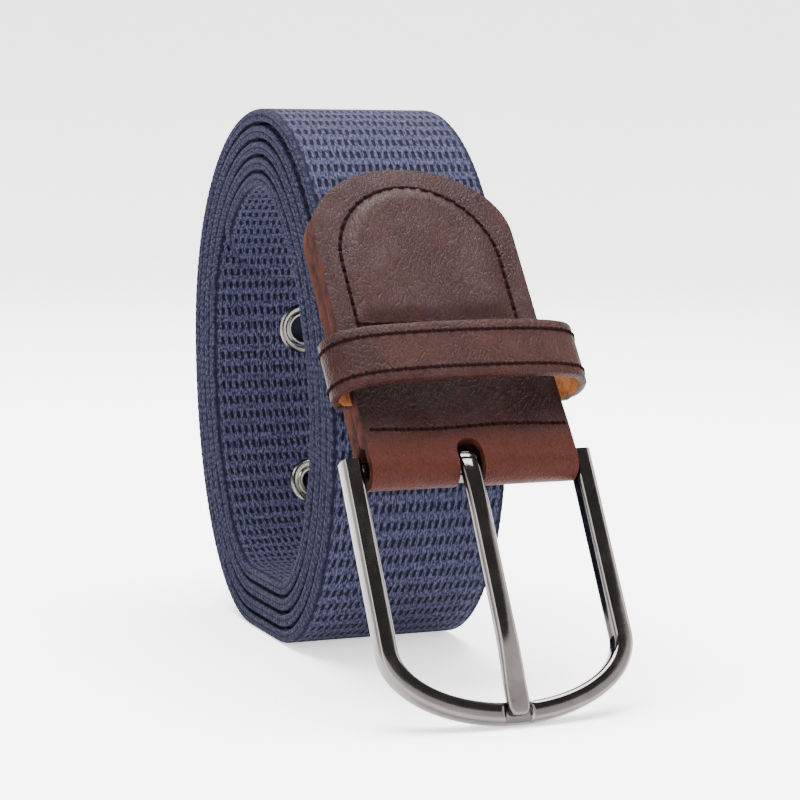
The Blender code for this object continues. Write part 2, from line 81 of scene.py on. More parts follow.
# Leather tab and keeper
TAB_LEAN = math.radians(37.0)
TAB_STRAIGHT = 60.4 * MM
TAB_LENGTH = 66.1 * MM
TAB_WIDTH = 42.5 * MM
TAB_ARCH = 15.5 * MM
LEATHER_THICKNESS = 1.6 * MM
WEBBING_END = 29.5 * MM
SLOT_WIDTH = 5.2 * MM
SLOT_ASIDE = -0.9 * MM
SLOT_TOP = 4.3 * MM
FOLD_PLAY = 0.6 * MM
CLOSING_START = 4 * MM
CLOSING_LENGTH = 12 * MM
PANEL_RISE = 0.75 * MM
PANEL_BLEND = 2.6 * MM
SEAM_GAP = 0.08 * MM
SLOT_CUT = 9 * MM
STITCH_INSET = 4.4 * MM
PANEL_BOTTOM = 30.2 * MM
LOWER_ROW = 6.8 * MM
LOWER_ROW_INSET = 1.6 * MM
KEEPER_BOTTOM = 13.4 * MM
KEEPER_WIDTH = 12 * MM
KEEPER_STITCH_INSET = 2.1 * MM
KEEPER_THICKNESS = 1.5 * MM
KEEPER_OVERHANG = 4.9 * MM
KEEPER_HEIGHT = 8.5 * MM

# Buckle
BAR_DIAMETER = 3 * MM
FRAME_WIDTH = 51.3 * MM
FRAME_DROP = 50.6 * MM
FRAME_WIRE = 3.8 * MM
FRAME_DEPTH = 4 * MM
FRAME_ROUNDING = 1 * MM
BOW_HEIGHT = 15.2 * MM
POST_RISE = 1.8 * MM
TONGUE_REST_DEPTH = 1.2 * MM
TONGUE_REST_PLAY = 0.35 * MM
TONGUE_REST_BLEND = 0.8 * MM
FRAME_ASIDE = -0.3 * MM
BAR_LIFT = 0.3 * MM
TONGUE_WIDTH = 3.9 * MM
TONGUE_ASIDE = -1.2 * MM
TONGUE_EYE_WALL = 1.4 * MM

# Needle holes
NEEDLE_RADIUS = 0.46 * MM
NEEDLE_SIDES = 8
NEEDLE_PROUD = 0.02 * MM
NEEDLE_DEPTH = 0.2 * MM
NEEDLE_SHARE = 0.96

# Eyelets
EYELET_DIAMETER = 11.5 * MM
EYELET_HOLE = 5.6 * MM
EYELET_SPACING = 36 * MM
FIRST_EYELET = 77.2 * MM
EYELET_COUNT = 5
# At the rim (1) or the bore (0), reach past it and height in mm, from the inner face round the outside
EYELET_SECTION = (
    (0, 0.0, -1.45), (0, 0.15, -1.75), (0, 0.5, -1.92), (0, 0.85, -1.85), (0, 1.05, -1.62), (0, 1.2, -1.58),
    (0, 1.35, -1.7), (0, 1.8, -2.0), (0, 2.3, -1.95), (1, -0.15, -1.6), (1, 0.0, -1.2), (1, -0.05, -0.95),
    (0, 0.6, -0.9), (0, 0.6, 0.9), (1, -0.05, 0.95), (1, 0.0, 1.1), (1, -0.3, 1.38), (0, 0.5, 1.4),
    (0, 0.0, 1.2),
)

# Sizes that follow
PITCH = WEBBING_THICKNESS + LAYER_GAP
FOLD_SPACE = BAR_DIAMETER / 2 + FOLD_PLAY
HALF_SPACE = WEBBING_THICKNESS / 2 + CLEARANCE
TAB_HALF_DEPTH = HALF_SPACE + LEATHER_THICKNESS
TUCK = TAB_HALF_DEPTH + CLEARANCE - WEBBING_THICKNESS / 2 - LAYER_GAP
FLAT_FRONT = -RESTING_LENGTH / 2
FLAT_BACK = RESTING_LENGTH / 2


def smooth_step(share):
    """Rise from 0 to 1 with level ends."""
    share = min(max(share, 0.0), 1.0)
    return share * share * (3 - 2 * share)


# The roll's path, as in the part

def roll_quarters():
    """Quarters of the outline, each (centre y, centre z, half width, half height, from, to)."""
    front_rise = ROLL_HEIGHT - ROLL_FRONT_LEVEL
    back_rise = ROLL_HEIGHT - ROLL_BACK_LEVEL
    leave = math.pi - math.atan(front_rise * math.tan(TAB_LEAN) / ROLL_FRONT)
    front_below = FLAT_FRONT - (TOP_BEHIND - ROLL_FRONT)
    back_below = TOP_BEHIND + ROLL_BACK - FLAT_BACK
    return (
        (TOP_BEHIND, ROLL_FRONT_LEVEL, ROLL_FRONT, front_rise, leave, math.pi / 2),
        (TOP_BEHIND, ROLL_BACK_LEVEL, ROLL_BACK, back_rise, math.pi / 2, 0.0),
        (FLAT_BACK, ROLL_BACK_LEVEL, back_below, ROLL_BACK_LEVEL, 0.0, -math.pi / 2),
        (FLAT_FRONT, ROLL_FRONT_LEVEL, front_below, ROLL_FRONT_LEVEL, -math.pi / 2, -math.pi),
        (TOP_BEHIND, ROLL_FRONT_LEVEL, ROLL_FRONT, front_rise, math.pi, leave),
    )


def roll_outline():
    """The closed outline as (point, outward normal, run) from where the tab's line leaves it."""
    stations = []
    for centre_y, centre_z, half_y, half_z, start, end in roll_quarters():
        steps = max(2, math.ceil(QUARTER_STEPS * abs(end - start) / (math.pi / 2)))
        for step in range(steps + 1):
            angle = start + (end - start) * step / steps
            point = Vector((0, centre_y + half_y * math.cos(angle), centre_z + half_z * math.sin(angle)))
            normal = Vector((0, math.cos(angle) / half_y, math.sin(angle) / half_z)).normalized()
            if stations and (point - stations[-1][0]).length < 0.05 * MM:
                continue
            run = stations[-1][2] + (point - stations[-1][0]).length if stations else 0.0
            stations.append((point, normal, run))
    return stations


OUTLINE = roll_outline()
TURN_RUN = OUTLINE[-1][2]
TAB_UP = Vector((0, math.sin(TAB_LEAN), math.cos(TAB_LEAN)))
TAB_OUT = Vector((0, -math.cos(TAB_LEAN), math.sin(TAB_LEAN)))
LEAVING_POINT = OUTLINE[0][0] - TAB_OUT * WEBBING_THICKNESS / 2
FOLD = LEAVING_POINT - TAB_UP * TAB_STRAIGHT
BAR = FOLD + TAB_UP * BAR_LIFT + Vector((FRAME_ASIDE, 0, 0))
STRAP_RUN = TAB_STRAIGHT + FULL_TURNS * TURN_RUN + TIP_RUN
ACROSS = Vector((1, 0, 0))


def outline_at(run):
    """The outline's point and normal at a run along it."""
    for (point, normal, start), (next_point, next_normal, end) in zip(OUTLINE, OUTLINE[1:]):
        if run <= end + 1e-9:
            share = (run - start) / (end - start)
            return point.lerp(next_point, share), normal.lerp(next_normal, share).normalized()
    return OUTLINE[-1][0], OUTLINE[-1][1]


def roll_depth(run):
    """How far the strap's outer face lies inside the outline, at a run from the leaving point."""
    turn = math.floor(run / TURN_RUN + 1e-9)
    share = run / TURN_RUN - turn
    depth = PITCH * (turn + smooth_step((share - STEP_IN_FROM) / (1 - STEP_IN_FROM)))
    passes = round(run / TURN_RUN)
    beside = run - passes * TURN_RUN - TUCK_MIDDLE
    reach = TUCK_UP if beside > 0 else TUCK_DOWN
    if passes and abs(beside) < reach:
        depth += TUCK * math.cos(math.pi / 2 * beside / reach) ** 2
    return depth


def strap_middle(run):
    """The strap's middle line and its outward normal, at a run from the fold."""
    past = run - TAB_STRAIGHT
    if past <= 0:
        return LEAVING_POINT + TAB_UP * past, TAB_OUT
    turn = math.floor(past / TURN_RUN + 1e-9)
    point, normal = outline_at(past - turn * TURN_RUN)
    return point - normal * (roll_depth(past) + WEBBING_THICKNESS / 2), normal


def leather_offset(run):
    """From the strap's middle line to the middle of the leather."""
    closed = smooth_step((run - CLOSING_START) / CLOSING_LENGTH)
    return FOLD_SPACE + (HALF_SPACE - FOLD_SPACE) * closed + LEATHER_THICKNESS / 2


# Mesh helpers

def new_object(name, mesh, materials=()):
    """An object for a mesh, with its materials."""
    made = bpy.data.objects.new(name, mesh)
    bpy.context.scene.collection.objects.link(made)
    for material in materials:
        mesh.materials.append(material)
    return made


def shade(piece, angle=40):
    """Smooth shading with sharp edges past an angle in degrees."""
    piece.data.shade_smooth()
    piece.data.set_sharp_from_angle(angle=math.radians(angle))
    return piece


def apply_modifiers(piece):
    """Replace a piece's mesh by its evaluated mesh."""
    graph = bpy.context.evaluated_depsgraph_get()
    done = bpy.data.meshes.new_from_object(piece.evaluated_get(graph), depsgraph=graph)
    piece.modifiers.clear()
    piece.data = done


def cut_with(piece, cutter):
    """Cut a piece with another object, which is then removed."""
    step = piece.modifiers.new("Cut", "BOOLEAN")
    step.object = cutter
    apply_modifiers(piece)
    bpy.data.objects.remove(cutter)


def grid_faces(rows, columns, close_rows=False, close_columns=False, start=0, flip=False):
    """Quads of a grid of points that are numbered row by row."""
    faces = []
    for row in range(rows if close_rows else rows - 1):
        after_row = (row + 1) % rows
        for column in range(columns if close_columns else columns - 1):
            after = (column + 1) % columns
            face = (start + row * columns + column, start + row * columns + after,
                    start + after_row * columns + after, start + after_row * columns + column)
            faces.append(tuple(reversed(face)) if flip else face)
    return faces


def build_mesh(name, points, faces, uvs=None, slots=None):
    """A mesh with outward faces, UVs in metres for each point, and a material slot for each face."""
    mesh = bpy.data.meshes.new(name)
    mesh.from_pydata([tuple(p) for p in points], [], faces)
    if uvs is not None:
        layer = mesh.uv_layers.new(name="surface")
        loop_points = np.empty(len(mesh.loops), dtype=np.int32)
        mesh.loops.foreach_get("vertex_index", loop_points)
        layer.data.foreach_set("uv", np.asarray(uvs, dtype=np.float32)[loop_points].ravel())
    if slots is not None:
        mesh.polygons.foreach_set("material_index", slots)
    fix = bmesh.new()
    fix.from_mesh(mesh)
    bmesh.ops.recalc_face_normals(fix, faces=fix.faces)
    fix.to_mesh(mesh)
    fix.free()
    return mesh


def thick_sheet(name, rows, thickness, lift=None, fill=None, loop=False, inner_slot=0, rim_slot=0):
    """A closed sheet through rows of (point, normal, u, v), thicker outwards by lift and inwards by fill."""
    count, columns = len(rows), len(rows[0])
    outer, inner, uvs = [], [], []
    for row in rows:
        for point, normal, u, v in row:
            extra = lift(u, v) if lift else 0.0
            outer.append(point + normal * (thickness / 2 + extra))
            inner.append(point - normal * (thickness / 2 + (fill(u, v) if fill else 0.0)))
            uvs.append((u, v))
    size = len(outer)
    faces = grid_faces(count, columns, close_rows=loop)
    slots = [0] * len(faces)
    back = grid_faces(count, columns, close_rows=loop, start=size, flip=True)
    faces += back
    slots += [inner_slot] * len(back)
    rim = []
    for row in range(count if loop else count - 1):
        after = (row + 1) % count
        for column in (0, columns - 1):
            a, b = row * columns + column, after * columns + column
            rim.append((a, b, b + size, a + size))
    if not loop:
        for row in (0, count - 1):
            for column in range(columns - 1):
                a = row * columns + column
                rim.append((a, a + 1, a + 1 + size, a + size))
    faces += rim
    slots += [rim_slot] * len(rim)
    return build_mesh(name, outer + inner, faces, uvs + uvs, slots)


def round_edges(piece, width, segments=2):
    """Bevel a piece's sharp edges and apply it."""
    rounding = piece.modifiers.new("Rounding", "BEVEL")
    rounding.width = width
    rounding.segments = segments
    rounding.limit_method = "ANGLE"
    rounding.angle_limit = math.radians(50)
    apply_modifiers(piece)


def smooth_line(points, per_span, closed=False):
    """A smooth line through points: Catmull-Rom, with per_span steps between two points."""
    count = len(points)
    line = []
    for index in range(count if closed else count - 1):
        if closed:
            a, b, c, d = (points[(index + shift) % count] for shift in (-1, 0, 1, 2))
        else:
            a, b = points[max(index - 1, 0)], points[index]
            c, d = points[index + 1], points[min(index + 2, count - 1)]
        for step in range(per_span):
            t = step / per_span
            line.append(tuple(0.5 * (2 * q + (r - p) * t + (2 * p - 5 * q + 4 * r - s) * t * t
                                     + (3 * q - p - 3 * r + s) * t ** 3) for p, q, r, s in zip(a, b, c, d)))
    if not closed:
        line.append(tuple(points[-1]))
    return line


def capsule_points(length, width, height, turns=6):
    """Rings of a stitch's capsule along X, lying on Z = 0."""
    rings = []
    for share, size in ((-0.5, 0.25), (-0.38, 0.75), (-0.15, 1.0), (0.15, 1.0), (0.38, 0.75), (0.5, 0.25)):
        sink = (1 - size) * height * 0.5
        rings.append([(share * length, size * width / 2 * math.cos(a), size * height / 2 * math.sin(a) - sink)
                      for a in [2 * math.pi * t / turns for t in range(turns)]])
    return rings


def stitches(name, lines, material, hole_material, spacing=2.5 * MM, length=1.9 * MM, width=0.75 * MM,
             height=0.55 * MM, rise=0.06 * MM):
    """Stitches along lines of (point, normal), with a needle hole between each two: a dark disc of painted
    shade.
    """
    points, faces, slots = [], [], []
    for line in lines:
        run = 0.0
        due = spacing / 2
        for (a, normal_a), (b, _) in zip(line, line[1:]):
            step = (b - a).length
            while step > 0 and run + step >= due:
                centre = a.lerp(b, (due - run) / step)
                along = (b - a).normalized()
                side = normal_a.cross(along).normalized()
                up = along.cross(side).normalized()
                start = len(points)
                rings = capsule_points(length, width, height)
                for ring in rings:
                    points += [centre + along * x + side * y + up * (z + rise) for x, y, z in ring]
                turns = len(rings[0])
                body = grid_faces(len(rings), turns, close_columns=True, start=start)
                caps = [tuple(start + t for t in range(turns)),
                        tuple(start + (len(rings) - 1) * turns + t for t in range(turns))]
                faces += body + caps
                slots += [0] * (len(body) + 2)
                # Each needle hole is a dark disc of painted shade, just proud of the leather
                for end in (-0.5, 0.5):
                    start = len(points)
                    middle = centre + along * end * spacing * NEEDLE_SHARE
                    ring = [(NEEDLE_RADIUS * math.cos(t), NEEDLE_RADIUS * math.sin(t)) for t in
                            [2 * math.pi * k / NEEDLE_SIDES for k in range(NEEDLE_SIDES)]]
                    points += [middle + along * x + side * y + up * NEEDLE_PROUD for x, y in ring]
                    points += [middle + along * x + side * y - up * NEEDLE_DEPTH for x, y in ring]
                    hole = grid_faces(2, NEEDLE_SIDES, close_columns=True, start=start)
                    hole += [tuple(start + k for k in range(NEEDLE_SIDES)),
                             tuple(start + NEEDLE_SIDES + k for k in range(NEEDLE_SIDES))]
                    faces += hole
                    slots += [1] * len(hole)
                due += spacing
            run += step
    mesh = build_mesh(name, points, faces, slots=slots)
    return shade(new_object(name, mesh, (material, hole_material)), 60)


# Material helpers

class Nodes:
    """Short names for a material's nodes and links."""

    def __init__(self, tree):
        self.tree = tree

    def add(self, kind, **values):
        """A node with its properties and, by socket name or number, its inputs."""
        node = self.tree.nodes.new(kind)
        for key, value in values.items():
            if key == "inputs":
                for socket, content in value.items():
                    self.feed(node.inputs[socket], content)
            else:
                setattr(node, key, value)
        return node

    def feed(self, socket, content):
        """Link a socket or set its value."""
        if isinstance(content, bpy.types.NodeSocket):
            self.tree.links.new(content, socket)
        else:
            socket.default_value = content

    def math(self, operation, a, b=0.0, clamp=False):
        node = self.add("ShaderNodeMath", operation=operation, use_clamp=clamp, inputs={0: a, 1: b})
        return node.outputs[0]

    def rise(self, value, low, high, to_low=0.0, to_high=1.0):
        """Smooth step of a value from low to high."""
        node = self.add("ShaderNodeMapRange", interpolation_type="SMOOTHSTEP",
                        inputs={"Value": value, "From Min": low, "From Max": high,
                                "To Min": to_low, "To Max": to_high})
        return node.outputs["Result"]

    def mix(self, factor, a, b, kind="RGBA"):
        """A colour between two or, with kind FLOAT, a value."""
        node = self.add("ShaderNodeMix", data_type=kind)
        self.feed(node.inputs["Factor"], factor)
        self.feed(node.inputs["A"], a)
        self.feed(node.inputs["B"], b)
        return node.outputs["Result"]

    def stretch(self, vector, scale, turn=(0.0, 0.0, 0.0)):
        """A place scaled and turned, so that a texture draws out."""
        node = self.add("ShaderNodeMapping", inputs={"Vector": vector, "Scale": scale, "Rotation": turn})
        return node.outputs["Vector"]

    def noise(self, vector, scale, detail=3.0, roughness=0.5):
        node = self.add("ShaderNodeTexNoise", inputs={"Vector": vector, "Scale": scale, "Detail": detail,
                                                      "Roughness": roughness})
        return node.outputs["Fac"]


def rgb(red, green, blue):
    """A linear colour with full alpha."""
    return (red, green, blue, 1.0)


def shaded(colour, factor):
    """A colour times a factor, with no channel past 1."""
    return rgb(*(min(1.0, factor * channel) for channel in colour[:3]))


NAVY_DARK = rgb(0.0050, 0.0055, 0.017)
NAVY_LIGHT = rgb(0.042, 0.042, 0.072)
NAVY_PATCH = rgb(0.015, 0.016, 0.037)
# Painted shade in the weave's pits, grooves and strand gaps
NAVY_PIT_SHADE = rgb(0.0015, 0.002, 0.006)
NAVY_BRAID = rgb(0.0035, 0.0040, 0.0105)
CUT_WEBBING = rgb(0.05, 0.047, 0.042)
TAB_DARK = rgb(0.0120, 0.0032, 0.0026)
TAB_LIGHT = rgb(0.0210, 0.0066, 0.0054)
# Painted light: the warmer, brighter bend of the tab round the bar
TAB_FOLD_LIGHTING = rgb(0.0260, 0.0048, 0.0022)
KEEPER_DARK = rgb(0.0115, 0.0026, 0.0018)
KEEPER_LIGHT = rgb(0.0230, 0.0060, 0.0040)
# Painted sheen: purple patches that stand in for the sky's reflection on the leather
PAINTED_SHEEN_PURPLE = rgb(0.029, 0.016, 0.018)
# Painted shadow on the tab below and round the keeper
PAINTED_KEEPER_SHADOW = rgb(0.0032, 0.0008, 0.0006)
RAW_DARK = rgb(0.009, 0.0025, 0.0017)
RAW_LIGHT = rgb(0.028, 0.0070, 0.0036)
SUEDE_DARK = rgb(0.085, 0.030, 0.012)
SUEDE_LIGHT = rgb(0.22, 0.080, 0.028)
THREAD_BROWN = rgb(0.0050, 0.0010, 0.0008)
# Painted shade for the needle holes
NEEDLE_HOLE_SHADE = rgb(0.002, 0.001, 0.001)
GUNMETAL = rgb(0.100, 0.089, 0.086)
GUNMETAL_TINT = rgb(0.125, 0.112, 0.109)
NICKEL = rgb(0.085, 0.080, 0.075)
NICKEL_TINT = rgb(0.125, 0.117, 0.108)
FLOOR_PALE = rgb(0.93, 0.93, 0.93)


def new_material(name, roughness, metallic=0.0, specular=0.5):
    """A material with its Principled shader and node helper."""
    material = bpy.data.materials.new(name)
    material.use_nodes = True
    shader = material.node_tree.nodes["Principled BSDF"]
    shader.inputs["Roughness"].default_value = roughness
    shader.inputs["Metallic"].default_value = metallic
    shader.inputs["Specular IOR Level"].default_value = specular
    return material, shader, Nodes(material.node_tree)


def add_bump(nodes, shader, height, distance, strength=1.0):
    """Bump from a height of 0 to 1, distance metres deep."""
    bump = nodes.add("ShaderNodeBump", inputs={"Height": height, "Distance": distance, "Strength": strength})
    nodes.feed(shader.inputs["Normal"], bump.outputs["Normal"])


def webbing_material():
    """Navy webbing: columns of heathered grains between slanted pits, and two braids on each edge; pits, grooves
    and strand gaps are darkened with painted shade.
    """
    material, shader, n = new_material("woven_navy", 0.85, specular=0.06)
    uv = n.add("ShaderNodeUVMap", uv_map="surface").outputs["UV"]
    split = n.add("ShaderNodeSeparateXYZ", inputs={0: uv})
    place = n.add("ShaderNodeTexCoord").outputs["Object"]
    across = n.math("DIVIDE", split.outputs["X"], COLUMN_PITCH)
    along = n.math("DIVIDE", split.outputs["Y"], ROW_PITCH)
    wander = n.noise(uv, 420.0, 2.0)
    wander = n.math("MULTIPLY", n.math("SUBTRACT", wander, 0.5), 0.10)
    row = n.math("FRACT", n.math("ADD", along, wander))
    slant = n.math("MULTIPLY", n.math("SUBTRACT", row, 0.45), -0.30)
    column = n.math("FRACT", n.math("ADD", n.math("ADD", across, slant), n.math("MULTIPLY", wander, 0.5)))
    from_edge = n.math("ABSOLUTE", n.math("SUBTRACT", column, 0.5))

    stroke = n.rise(from_edge, 0.20, 0.36)
    in_row = n.math("MULTIPLY", n.rise(row, 0.14, 0.26), n.rise(row, 0.78, 0.62))
    pit = n.math("MULTIPLY", stroke, in_row)
    groove = n.math("MULTIPLY", n.rise(from_edge, 0.40, 0.5), 0.25)
    ridge = n.math("ABSOLUTE", n.math("SINE", n.math("MULTIPLY", across, math.pi)))
    ridge = n.math("MULTIPLY", ridge, n.math("SUBTRACT", 1.0, in_row))
    # Painted shade: the pits and the grooves between columns are darkened
    face_pit_shade = n.math("MAXIMUM", pit, groove)
    grain = n.math("SUBTRACT", 1.0, n.math("MULTIPLY", from_edge, from_edge))
    face_height = n.math("SUBTRACT", n.math("ADD", grain, n.math("MULTIPLY", ridge, 0.15)),
                         n.math("MULTIPLY", pit, 1.3))

    from_middle = n.math("ABSOLUTE", split.outputs["X"])
    edge = n.rise(from_middle, BRAID_FROM, BRAID_FULL)
    lobe = n.math("FRACT", n.math("DIVIDE", n.math("SUBTRACT", from_middle, BRAID_START), BRAID_WIDTH))
    lean = n.math("ABSOLUTE", n.math("SUBTRACT", lobe, 0.5))
    chain = n.math("FRACT", n.math("ADD", n.math("DIVIDE", split.outputs["Y"], BRAID_PITCH / 2), lean))
    strand = n.math("ABSOLUTE", n.math("SUBTRACT", chain, 0.5))
    edge_dark = n.math("MAXIMUM", n.rise(strand, 0.36, 0.49), n.rise(lean, 0.36, 0.5))
    edge_height = n.math("SUBTRACT", 1.0, edge_dark)

    dark = n.mix(edge, face_pit_shade, n.math("MULTIPLY", edge_dark, 0.9), "FLOAT")
    relief = n.mix(edge, face_height, edge_height, "FLOAT")

    stretch = n.stretch(uv, (1.0, 0.35, 1.0))
    heather = n.rise(n.noise(stretch, 2600.0, 2.0, 0.6), 0.36, 0.66)
    patch = n.rise(n.noise(place, 60.0, 2.0), 0.3, 0.7)
    yarn = n.mix(heather, NAVY_DARK, NAVY_LIGHT)
    yarn = n.mix(n.math("MULTIPLY", patch, 0.25), yarn, NAVY_PATCH)
    # Painted shade: the pits, grooves and braid strand gaps mix towards near black
    colour = n.mix(n.math("MULTIPLY", dark, 0.96), yarn, NAVY_PIT_SHADE)
    colour = n.mix(n.math("MULTIPLY", edge, 0.42), colour, NAVY_BRAID)
    tip = n.rise(split.outputs["Y"], STRAP_RUN - 0.9 * MM, STRAP_RUN - 0.2 * MM, 0.0, 0.6)
    colour = n.mix(tip, colour, CUT_WEBBING)
    n.feed(shader.inputs["Base Color"], colour)
    fibre = n.noise(stretch, 5200.0, 2.0)
    height = n.math("ADD", relief, n.math("MULTIPLY", fibre, 0.22))
    add_bump(n, shader, height, 0.42 * MM, 0.9)
    return material


def new_group(name, inputs, outputs):
    """An empty node group with named sockets: its tree, helper, what comes in and what goes out."""
    tree = bpy.data.node_groups.new(name, "ShaderNodeTree")
    for side, sockets in (("INPUT", inputs), ("OUTPUT", outputs)):
        for socket, kind in sockets.items():
            tree.interface.new_socket(name=socket, in_out=side, socket_type="NodeSocket" + kind)
    nodes = Nodes(tree)
    return tree, nodes, nodes.add("NodeGroupInput").outputs, nodes.add("NodeGroupOutput").inputs


def leather_grain():
    """Fine pores, long soft wrinkles, creases, cloudy patches and patches of painted purple sheen, for the tab
    and the keeper.
    """
    tree, n, given, out = new_group(
        "leather_grain", {"Place": "Vector", "Dark": "Color", "Light": "Color", "PaintedSheen": "Float"},
        {"Colour": "Color", "Cloud": "Float", "Worn": "Float", "Pitted": "Float", "Roughness": "Float",
         "Height": "Float"})
    place = given["Place"]
    long_grain = n.stretch(place, (1.0, 0.45, 0.45), (0.0, 0.3, 0.25))
    cells = n.add("ShaderNodeTexVoronoi", feature="DISTANCE_TO_EDGE",
                  inputs={"Vector": long_grain, "Scale": 1900.0, "Randomness": 1.0}).outputs["Distance"]
    pores = n.rise(cells, 0.0, 0.16)
    wrinkles = n.noise(long_grain, 300.0, 6.0, 0.68)
    slanted = n.stretch(place, (1.0, 0.28, 0.28), (0.0, 0.5, 0.6))
    cracks = n.add("ShaderNodeTexVoronoi", feature="DISTANCE_TO_EDGE",
                   inputs={"Vector": slanted, "Scale": 620.0}).outputs["Distance"]
    creases = n.rise(cracks, 0.0, 0.09)
    cloud = n.noise(place, 85.0, 4.0, 0.6)
    colour = n.mix(n.rise(cloud, 0.3, 0.72), given["Dark"], given["Light"])
    # Painted sheen: patches mixed towards purple stand in for the sky's reflection
    painted_sheen = n.rise(n.noise(place, 150.0, 3.0), 0.42, 0.75, 0.0, given["PaintedSheen"])
    n.feed(out["Colour"], n.mix(painted_sheen, colour, PAINTED_SHEEN_PURPLE))
    n.feed(out["Cloud"], cloud)
    n.feed(out["Worn"], n.rise(wrinkles, 0.56, 0.72, 0.0, 0.35))
    n.feed(out["Pitted"], n.math("MULTIPLY", n.math("SUBTRACT", 1.0, pores), 0.4))
    n.feed(out["Roughness"], n.rise(cloud, 0.25, 0.75, 0.38, 0.55))
    height = n.math("ADD", n.math("MULTIPLY", wrinkles, 1.3), n.math("MULTIPLY", pores, 0.30))
    creased = n.math("MULTIPLY", creases, n.rise(cloud, 0.35, 0.7, 0.05, 0.45))
    n.feed(out["Height"], n.math("ADD", height, creased))
    return tree


def fibre_grain():
    """Short cut fibres, for the raw edges and the suede side."""
    tree, n, given, out = new_group(
        "fibre_grain", {"Place": "Vector", "Dark": "Color", "Light": "Color", "Bright": "Color"},
        {"Colour": "Color", "Height": "Float"})
    fibres = n.stretch(given["Place"], (1.0, 0.3, 0.3))
    grain = n.noise(fibres, 2400.0, 4.0, 0.7)
    cloud = n.noise(given["Place"], 260.0, 3.0)
    colour = n.mix(n.rise(cloud, 0.35, 0.65), given["Dark"], given["Light"])
    n.feed(out["Colour"], n.mix(n.rise(grain, 0.4, 0.7, 0.0, 0.5), colour, given["Bright"]))
    n.feed(out["Height"], grain)
    return tree


def plating_haze():
    """Faint haze and fine streaks, for the gunmetal and the nickel."""
    tree, n, given, out = new_group(
        "plating_haze", {"Place": "Vector", "Base": "Color", "Tint": "Color", "Polish": "Float"},
        {"Colour": "Color", "Roughness": "Float", "Height": "Float"})
    haze = n.noise(given["Place"], 140.0, 4.0, 0.6)
    streaks = n.stretch(given["Place"], (1.0, 0.12, 0.12))
    fine = n.noise(streaks, 2600.0, 2.0)
    n.feed(out["Colour"], n.mix(n.rise(haze, 0.40, 0.65), given["Base"], given["Tint"]))
    worn = n.math("ADD", haze, n.math("MULTIPLY", fine, 0.08))
    low, high = n.math("MULTIPLY", given["Polish"], 0.75), n.math("MULTIPLY", given["Polish"], 1.6)
    n.feed(out["Roughness"], n.rise(worn, 0.45, 0.95, low, high))
    n.feed(out["Height"], haze)
    return tree


def fine_mottle():
    """A fine mottling of two colours, for the thread and the needle holes."""
    tree, n, given, out = new_group(
        "fine_mottle", {"Place": "Vector", "Base": "Color", "Fleck": "Color"}, {"Colour": "Color"})
    mottle = n.rise(n.noise(given["Place"], 3000.0, 2.0), 0.35, 0.65)
    n.feed(out["Colour"], n.mix(mottle, given["Base"], given["Fleck"]))
    return tree


def leather_material(name, grain, dark, light, painted_sheen, fold=None):
    """Smooth chocolate leather with worn, paler ridges and painted purple sheen. With a fold colour, painted
    light reddens it towards the bar and a painted shadow darkens it by the keeper.
    """
    material, shader, n = new_material(name, 0.48, specular=0.08)
    place = n.add("ShaderNodeTexCoord").outputs["Object"]
    leather = n.add("ShaderNodeGroup", node_tree=grain, inputs={
        "Place": place, "Dark": dark, "Light": light, "PaintedSheen": painted_sheen}).outputs
    colour = leather["Colour"]
    if fold:
        uv = n.add("ShaderNodeUVMap", uv_map="surface").outputs["UV"]
        run = n.math("ABSOLUTE", n.add("ShaderNodeSeparateXYZ", inputs={0: uv}).outputs["Y"])
        # Painted light: the bend round the bar turns warmer and brighter
        fold_lighting_mask = n.rise(run, 1.5 * MM, 8.5 * MM, 1.0, 0.0)
        colour = n.mix(fold_lighting_mask, colour, n.mix(leather["Cloud"], fold, shaded(fold, 1.5)))
        # Painted shadow: the tab darkens below and round the keeper, on both faces
        keeper_shadow_mask = n.math("MULTIPLY", n.rise(run, 7.0 * MM, 11.0 * MM), n.rise(run, 30.0 * MM, 25.0 * MM))
        colour = n.mix(n.math("MULTIPLY", keeper_shadow_mask, 0.62), colour, PAINTED_KEEPER_SHADOW)
    colour = n.mix(leather["Worn"], colour, shaded(light, 1.7))
    colour = n.mix(leather["Pitted"], colour, shaded(dark, 0.35))
    n.feed(shader.inputs["Base Color"], colour)
    n.feed(shader.inputs["Roughness"], leather["Roughness"])
    add_bump(n, shader, leather["Height"], 0.22 * MM, 0.9)
    return material


def grouped_material(name, group, values, roughness, metallic=0.0, specular=0.5, relief=0.0, strength=1.0):
    """A material that a group gives its colour and, where the group has them, its roughness and relief."""
    material, shader, n = new_material(name, roughness, metallic, specular)
    place = n.add("ShaderNodeTexCoord").outputs["Object"]
    made = n.add("ShaderNodeGroup", node_tree=group, inputs={"Place": place, **values}).outputs
    n.feed(shader.inputs["Base Color"], made["Colour"])
    if "Roughness" in made:
        n.feed(shader.inputs["Roughness"], made["Roughness"])
    if relief:
        add_bump(n, shader, made["Height"], relief, strength)
    return material


def cut_leather_material(name, fibres, dark, light):
    """A cut edge or flesh side: short orange-tan fibres."""
    values = {"Dark": dark, "Light": light, "Bright": shaded(light, 1.5)}
    return grouped_material(name, fibres, values, 0.9, specular=0.05, relief=0.15 * MM)


def plated_material(name, haze, base, tint, roughness):
    """Polished plated metal with faint wear and haze."""
    values = {"Base": base, "Tint": tint, "Polish": roughness}
    return grouped_material(name, haze, values, roughness, metallic=1.0, relief=0.02 * MM, strength=0.35)


def mottled_material(name, mottle, colour):
    """Thread, or the painted shade of a needle hole."""
    values = {"Base": colour, "Fleck": shaded(colour, 1.6)}
    return grouped_material(name, mottle, values, 0.8, specular=0.03)


# Pieces

